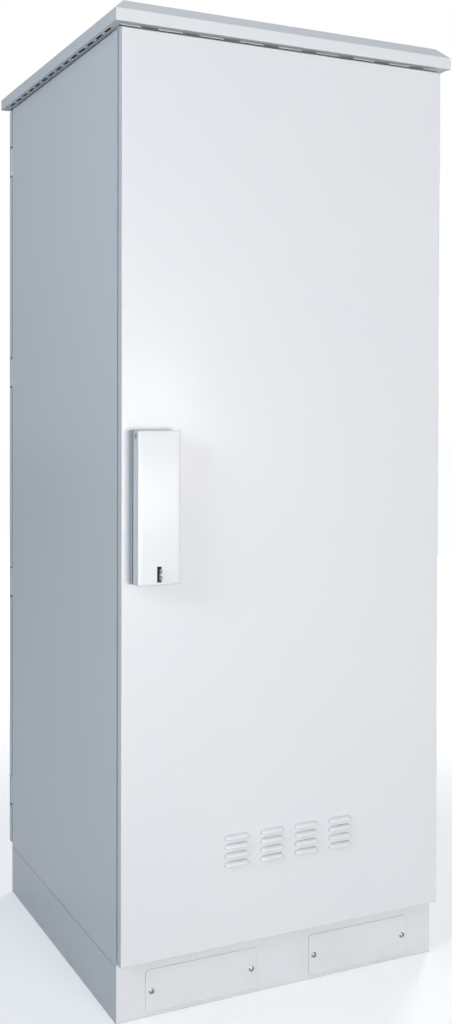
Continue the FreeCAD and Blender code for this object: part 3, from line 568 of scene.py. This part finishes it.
def key_barrel():
    foremost = (HANDLE_MIDDLE, BARREL_FRONT, BARREL_HEIGHT)
    barrel = rod("front_key_barrel", foremost, BARREL_LENGTH, BARREL_RADIUS, sides=48)
    choose(barrel, "FACE", lambda middle, way: way.y < -0.9)
    bpy.ops.mesh.inset(thickness=2.2 * MM)
    bpy.ops.mesh.extrude_region_move(TRANSFORM_OT_translate={"value": (0, 0.8 * MM, 0)})
    done()
    across, up = KEYWAY_HALF
    keyway = block("keyway", (HANDLE_MIDDLE - across, BARREL_FRONT - 1, BARREL_HEIGHT - up),
                   (HANDLE_MIDDLE + across, BARREL_FRONT + 4, BARREL_HEIGHT + up))
    subtract(barrel, [keyway])
    soften(barrel, 0.35, 2)
    return barrel


both_sides(swing_handle(), "handle_lever", "front_door_leaf", "rear_door_leaf", "handle", plastic, "SIDE_handle")
both_sides(key_barrel(), "key_barrel", "front_door_leaf", "rear_door_leaf", "steel", steel)

# %% [markdown]
# The rack rails are the reason for the cabinet: four upright angles whose faces carry three square holes in
# every rack unit, 15.875 mm apart, for cage nuts. One unit is a plane cut by bisect into a grid, with the hole
# faces deleted and the outer edge folded back. Array repeats it for all 42 units, and Solidify makes it sheet.

# %% Rack rails
UNIT = 44.45
UNITS = 42
HOLE_PITCH = 15.875
HOLE_SIDE = 9.5
HOLE_LINE = 232.55
RAIL_IN, RAIL_OUT = 225.0, 255.0
RAIL_FRONT, RAIL_BACK = -300.0, -260.0
RAIL_SHEET = 2.0
RAIL_FOOT = 180.0
RAIL_HEAD = 2050.0
RAIL_MARGIN = (RAIL_HEAD - RAIL_FOOT - UNITS * UNIT) / 2
RAIL_BEND = 2.5
NEAR = 0.01


def unit_of_rail():
    foot = RAIL_FOOT + RAIL_MARGIN
    bpy.ops.object.select_all(action="DESELECT")
    middle = Vector(((RAIL_IN + RAIL_OUT) / 2, RAIL_FRONT, foot + UNIT / 2)) * MM
    bpy.ops.mesh.primitive_plane_add(size=1.0, location=middle, rotation=(math.pi / 2, 0, 0))
    strip = bpy.context.object
    strip.scale = ((RAIL_OUT - RAIL_IN) * MM, UNIT * MM, 1)
    named(strip, "rail_unit")
    for x in (HOLE_LINE - HOLE_SIDE / 2, HOLE_LINE + HOLE_SIDE / 2):
        slice_across(strip, (x, 0, 0), (1, 0, 0))
    centres = [foot + UNIT / 2 + step * HOLE_PITCH for step in (-1, 0, 1)]
    for centre in centres:
        for edge in (centre - HOLE_SIDE / 2, centre + HOLE_SIDE / 2):
            slice_across(strip, (0, 0, edge), (0, 0, 1))
    drop_faces(strip, lambda middle, way: abs(middle.x - HOLE_LINE) < HOLE_SIDE / 2
               and any(abs(middle.z - centre) < HOLE_SIDE / 2 for centre in centres))
    return strip


def rack_rail():
    strip = unit_of_rail()
    modify(strip, "ARRAY", count=UNITS, use_relative_offset=False, use_constant_offset=True,
           constant_offset_displace=(0, 0, UNIT * MM), use_merge_vertices=True, merge_threshold=NEAR * MM)
    for high, shift in ((False, -RAIL_MARGIN), (True, RAIL_MARGIN)):
        end = RAIL_HEAD - RAIL_MARGIN if high else RAIL_FOOT + RAIL_MARGIN
        choose(strip, "EDGE", lambda middle, way: abs(middle.z - end) < NEAR)
        bpy.ops.mesh.extrude_region_move(TRANSFORM_OT_translate={"value": (0, 0, shift * MM)})
        done()
    choose(strip, "EDGE", lambda middle, way: abs(middle.x - RAIL_OUT) < NEAR)
    bpy.ops.mesh.extrude_region_move(TRANSFORM_OT_translate={"value": (0, (RAIL_BACK - RAIL_FRONT) * MM, 0)})
    done()
    choose(strip, "EDGE", lambda middle, way: abs(middle.x - RAIL_OUT) < NEAR
           and abs(middle.y - RAIL_FRONT) < NEAR and abs(way.z) > 0.9)
    bpy.ops.mesh.bevel(offset=RAIL_BEND * MM, segments=3)
    done()
    turn_outwards(strip)
    face = max(strip.data.polygons, key=lambda polygon: polygon.area * abs(polygon.normal.x))
    inward = 1.0 if face.normal.x < 0 else -1.0
    modify(strip, "SOLIDIFY", thickness=RAIL_SHEET * MM, offset=inward, use_even_offset=True)
    shade(strip)
    return strip


def pair_of_rails():
    right = rack_rail()
    alone(right)
    bpy.ops.object.duplicate()
    left = bpy.context.object
    left.scale = (-1, 1, 1)
    named(left, "rail_left")
    turn_outwards(left)
    return join("front_rail_pair", [right, left])


both_sides(pair_of_rails(), "rail_pair", "cabinet", "cabinet", "zinc", zinc, "rack_rails_SIDE")

# %% [markdown]
# Eight screws hold the covers of the plinth, four at the front and four at the rear. They have a low round head
# with a cross recess, on a thin washer. The head is a cylinder whose front edge is rounded far in, and the
# recess is cut by two crossed blocks. One screw is modelled and copied.

# %% Cover screws
WASHER = 1.0
WASHER_ROUND = 0.25
RECESS_HALF, RECESS_ARM = 0.5, 0.13
RECESS_DEPTH = 0.7


def screw(name, head_radius, head_height, washer_radius):
    """A screw at the origin that is driven from the front. The recess is in shares of the head's size."""
    washer = rod(name + "_washer", (0, -WASHER, 0), WASHER, washer_radius, sides=40)
    soften(washer, WASHER_ROUND, 2)
    head = rod(name + "_head", (0, -WASHER - head_height, 0), head_height, head_radius, sides=40)
    choose(head, "EDGE", lambda middle, way: middle.y < 0.1 - WASHER - head_height)
    bpy.ops.mesh.bevel(offset=head_height * 0.8 * MM, segments=5, profile=0.5)
    done()
    half, deep = head_radius * RECESS_HALF, head_height * RECESS_DEPTH
    arm = head_radius * RECESS_ARM
    front = -WASHER - head_height - 1
    bars = [block("bar", (-half, front, -arm), (half, front + 1 + deep, arm)),
            block("bar", (-arm, front, -half), (arm, front + 1 + deep, half))]
    subtract(head, bars)
    shade(head)
    return join(name, [washer, head])


PLINTH_SCREWS = (-320.0, -80.0, 80.0, 320.0)
PLINTH_SCREW_HEIGHT = 56.0
PLINTH_COVER_FRONT = -402.0
master = screw("screw", 5.2, 3.0, 6.4)
row = [copied(master, "plinth_screw", (x, PLINTH_COVER_FRONT, PLINTH_SCREW_HEIGHT)) for x in PLINTH_SCREWS]
both_sides(join("front_plinth_screws", row), "plinth_screws", "cabinet", "cabinet", "steel", steel)
bpy.data.objects.remove(master)

# %% [markdown]
# Behind the doors there are more fixings: screws in the hinge leaves and the lock case, and hexagon bolts where
# the rack rails meet the crossbars. The screws are the same form as before in another size. A bolt head is a
# six-sided cylinder whose front corners are bevelled, as the machining of a real head leaves them.

# %% Fixings inside
DOOR_FOOT, DOOR_TOP = 130.0, 2101.0
LOWEST_HINGE, HIGHEST_HINGE = DOOR_FOOT + 140.0, DOOR_TOP - 135.0
HINGE_LEVELS = [LOWEST_HINGE + step * (HIGHEST_HINGE - LOWEST_HINGE) / 3 for step in range(4)]
LEAF_MIDDLE = 378.5
LEAF_FRONT = -403.0
LEAF_SCREW_PITCH = 22.0
RAIL_MIDDLE = (RAIL_IN + RAIL_OUT) / 2
BOLT_HEIGHTS = (165.0, 2065.0)
BOLT_WASHER = 1.2
BOLT_CORNER = 0.9
CASE_MIDDLE = -374.0
CASE_BACK = -414.0
CASE_SCREW_HEIGHTS = (1028.0, 1174.0)


def hex_bolt(name, across, height):
    """A bolt head on its washer, at the origin and driven from the front."""
    washer = rod(name + "_washer", (0, -BOLT_WASHER, 0), BOLT_WASHER, across * 0.62, sides=40)
    soften(washer, WASHER_ROUND, 2)
    head = rod(name + "_head", (0, -BOLT_WASHER - height, 0), height, across / 2 / math.cos(math.pi / 6), sides=6)
    choose(head, "EDGE", lambda middle, way: middle.y < 0.1 - BOLT_WASHER - height)
    bpy.ops.mesh.bevel(offset=BOLT_CORNER * MM, segments=2)
    done()
    return join(name, [washer, head])


def spread(master, name, places, turned=0.0):
    """Copies of a fixing at several places, joined into one piece; the master is thrown away."""
    copies = [copied(master, name, place, turned) for place in places]
    bpy.data.objects.remove(master)
    return join(name, copies)


leaf_places = [(LEAF_MIDDLE, LEAF_FRONT, level + side * LEAF_SCREW_PITCH)
               for level in HINGE_LEVELS for side in (-1, 1)]
leaf_screws = spread(screw("leaf_screw", 4.2, 0.9, 4.3), "front_leaf_screws", leaf_places)
both_sides(leaf_screws, "leaf_screws", "cabinet", "cabinet", "steel", steel)

bolt_places = [(x, RAIL_FRONT, height) for x in (-RAIL_MIDDLE, RAIL_MIDDLE) for height in BOLT_HEIGHTS]
rail_bolts = spread(hex_bolt("rail_bolt", 10.0, 4.0), "front_rail_bolts", bolt_places)
both_sides(rail_bolts, "rail_bolts", "cabinet", "cabinet", "steel", steel)

case_places = [(CASE_MIDDLE, CASE_BACK, height) for height in CASE_SCREW_HEIGHTS]
case_screws = spread(screw("case_screw", 4.5, 2.4, 5.5), "front_case_screws", case_places, math.pi)
both_sides(case_screws, "case_screws", "front_door_leaf", "rear_door_leaf", "steel", steel)

# %% [markdown]
# The lock pushes two rods, one up and one down, and plastic guides on the door's skin keep them in line. A guide
# is a small block with a foot: its back is pushed out, the foot's sides are widened, and all edges are rounded.

# %% Rod guides
GUIDE_HEIGHTS = (420.0, 760.0, 1420.0, 1790.0)
SKIN_BACK = -426.0
ROD_LINE = -420.0
GUIDE_HALF = 6.5
GUIDE_FOOT = 2.0
GUIDE_WING = 4.0


def rod_guide(height):
    low = (CASE_MIDDLE - GUIDE_HALF, SKIN_BACK + GUIDE_FOOT, height - GUIDE_HALF)
    high = (CASE_MIDDLE + GUIDE_HALF, ROD_LINE + 7.0, height + GUIDE_HALF)
    guide = block("rod_guide", low, high)
    choose(guide, "FACE", lambda middle, way: way.y < -0.9)
    bpy.ops.mesh.extrude_region_move(TRANSFORM_OT_translate={"value": (0, -GUIDE_FOOT * MM, 0)})
    done()
    choose(guide, "FACE", lambda middle, way: abs(way.x) > 0.9 and middle.y < SKIN_BACK + GUIDE_FOOT)
    bpy.ops.mesh.extrude_region_shrink_fatten(TRANSFORM_OT_shrink_fatten={"value": GUIDE_WING * MM})
    done()
    soften(guide, 0.8)
    return guide


guides = join("front_rod_guides", [rod_guide(height) for height in GUIDE_HEIGHTS])
both_sides(guides, "rod_guides", "front_door_leaf", "rear_door_leaf", "handle", plastic)

# %% [markdown]
# Rubber grommets line the four cable entries in the floor. Each is a ring with a groove that the sheet's edge
# sits in, closed by a thin membrane that is slit when a cable goes in. It is a circle turned into a ring by
# inset and extrude.

# %% Cable grommets
ENTRY_PLACES = (-142.5, -47.5, 47.5, 142.5)
ENTRY_ROW = 150.0
ENTRY_RADIUS = 25.0
ENTRY_TOP = 124.0
RING_WALL, RING_DEPTH = 3.5, 7.0
MEMBRANE_RIM, MEMBRANE_FOLD = 6.0, 2.0
LIP_OVERLAP, LIP_WIDTH = 4.5, 8.0
RUBBER_ROUND = 0.9


def grommet(x):
    ring = rod("grommet", (x, ENTRY_ROW, ENTRY_TOP - 6), 10.0, ENTRY_RADIUS - 0.4, "Z", 64)
    choose(ring, "FACE", lambda middle, way: way.z > 0.9)
    bpy.ops.mesh.inset(thickness=RING_WALL * MM)
    bpy.ops.mesh.extrude_region_move(TRANSFORM_OT_translate={"value": (0, 0, -RING_DEPTH * MM)})
    bpy.ops.mesh.inset(thickness=MEMBRANE_RIM * MM)
    bpy.ops.mesh.extrude_region_move(TRANSFORM_OT_translate={"value": (0, 0, MEMBRANE_FOLD * MM)})
    done()
    lip = rod("lip", (x, ENTRY_ROW, ENTRY_TOP + 0.3), 2.6, ENTRY_RADIUS + LIP_OVERLAP, "Z", 64)
    choose(lip, "FACE", lambda middle, way: abs(way.z) > 0.9)
    bpy.ops.mesh.inset(thickness=LIP_WIDTH * MM)
    bpy.ops.mesh.bridge_edge_loops()
    done()
    soften(ring, RUBBER_ROUND)
    soften(lip, RUBBER_ROUND)
    return join("grommet", [ring, lip])


fit(join("cable_grommets", [grommet(x) for x in ENTRY_PLACES]), "cabinet", "gasket", grommet_rubber)

# %% [markdown]
# The door seal is a foam bead that runs in one ring round the back of each door. A block is inset on both of
# its faces, the middle is bridged through, and the free corners of the ring are rounded like a poured bead.

# %% Door seals
SEAL_LOW = (-355.0, -426.0, 180.0)
SEAL_HIGH = (355.0, -418.0, 2052.0)
SEAL_WIDTH = 17.0
SEAL_ROUND = 3.6


def door_seal():
    ring = block("front_seal_bead", SEAL_LOW, SEAL_HIGH)
    choose(ring, "FACE", lambda middle, way: abs(way.y) > 0.9)
    bpy.ops.mesh.inset(thickness=SEAL_WIDTH * MM)
    bpy.ops.mesh.bridge_edge_loops()
    done()
    choose(ring, "EDGE", lambda middle, way: middle.y > SEAL_HIGH[1] - 0.5 and abs(way.y) < 0.1
           and ring_edge(middle))
    bpy.ops.mesh.bevel(offset=SEAL_ROUND * MM, segments=5)
    done()
    shade(ring)
    return ring


def ring_edge(middle):
    """True on the seal's outer and inner outline, not on the mitres between them."""
    across = min(abs(abs(middle.x) - SEAL_HIGH[0]), abs(abs(middle.x) - SEAL_HIGH[0] + SEAL_WIDTH))
    centre = (SEAL_LOW[2] + SEAL_HIGH[2]) / 2
    half = (SEAL_HIGH[2] - SEAL_LOW[2]) / 2
    along = min(abs(abs(middle.z - centre) - half), abs(abs(middle.z - centre) - half + SEAL_WIDTH))
    return across < 0.1 or along < 0.1


both_sides(door_seal(), "seal_bead", "front_door_leaf", "rear_door_leaf", "gasket", seal, "SIDE_door_gasket")

# %% [markdown]
# The studio is plain: a pale floor, soft light from all round and three soft boxes. One stands low in front and
# lights the door evenly. One hangs high on the left, so the roof's edge shades the side below it. One lights
# the back and the right side. A small fourth lamp makes the bright patch on the door above the lock. The floor
# and the sky look white to the camera but send less light onto the cabinet, so its pale paint isn't washed out.
# The floor glows less close to the cabinet, where it keeps the cabinet's shadow.

# %% Floor, sky and lamps
def make_floor():
    bpy.ops.object.select_all(action="DESELECT")
    bpy.ops.mesh.primitive_plane_add(size=60.0, location=(0, 0, 0))
    floor = bpy.context.object
    floor.name = "floor"
    finish = Finish("pale_floor", Roughness=0.9, Specular_IOR_Level=0.0, Emission_Strength=1.0)
    seen = finish.node("ShaderNodeLightPath", {}, {}, "Is Camera Ray")
    drift = finish.noise(0.8, 3.0)
    shown = finish.mix(drift, (0.86, 0.86, 0.86, 1), (0.88, 0.88, 0.88, 1))
    finish.set("Base Color", finish.mix(seen, (0.50, 0.51, 0.52, 1), shown))
    distance = finish.node("ShaderNodeVectorMath", {"operation": "LENGTH"}, {0: finish.place()}, "Value")
    glow = finish.mix(finish.ramp(distance * 0.1, 0.1, 0.35), (0.26, 0.26, 0.26, 1), (0.66, 0.66, 0.66, 1))
    finish.set("Emission Color", finish.mix(seen, (0, 0, 0, 1), glow))
    floor.data.materials.append(finish.material)
    return floor


def make_lamp(name, place, target, size, colour, power):
    """A soft box of a width and height that looks at a target."""
    bpy.ops.object.select_all(action="DESELECT")
    bpy.ops.object.light_add(type="AREA", location=place)
    lamp = bpy.context.object
    lamp.name = name
    lamp.data.shape = "RECTANGLE"
    lamp.data.size, lamp.data.size_y = size
    lamp.data.color = colour
    lamp.data.energy = power
    lamp.rotation_euler = (Vector(target) - Vector(place)).to_track_quat("-Z", "Y").to_euler()


def make_sky(level_colour, high_colour):
    """A sky with one colour at eye level and one overhead. The camera sees plain white instead."""
    world = bpy.data.worlds.new("studio")
    bpy.context.scene.world = world
    world.use_nodes = True
    sky = Graph(world.node_tree)
    way = sky.node("ShaderNodeTexCoord", {}, {}, "Generated")
    height = sky.ramp(sky.node("ShaderNodeSeparateXYZ", {}, {0: way}, "Z"), 0.05, 0.75)
    light = sky.node("ShaderNodeBackground", {}, {"Color": sky.mix(height, level_colour, high_colour)})
    white = sky.node("ShaderNodeBackground", {}, {"Color": (1, 1, 1, 1)})
    seen = sky.node("ShaderNodeLightPath", {}, {}, "Is Camera Ray")
    either = sky.node("ShaderNodeMixShader", {}, {0: seen, 1: light, 2: white})
    sky.feed(world.node_tree.nodes["World Output"].inputs["Surface"], either)


make_floor()
make_sky((0.324, 0.348, 0.372, 1), (0.36, 0.384, 0.42, 1))
make_lamp("front_box", (0.3, -7.4, 0.7), (0.0, -0.4, 1.0), (2.4, 2.2), (1.000, 0.962, 0.936), 397.2)
make_lamp("left_window", (-3.9, -1.8, 2.6), (-0.4, 0.0, 1.1), (1.6, 1.6), (0.811, 0.922, 1.000), 72.6)
make_lamp("glint", (0.80, -3.3, 1.22), (-0.35, -0.43, 1.25), (0.2, 0.45), (1.000, 0.842, 0.632), 3.8)
make_lamp("rear_box", (5.6, 4.8, 2.3), (0.3, 0.3, 1.1), (1.6, 1.6), (1.0, 0.985, 0.97), 300.0)
bpy.context.scene.view_settings.view_transform = "Standard"
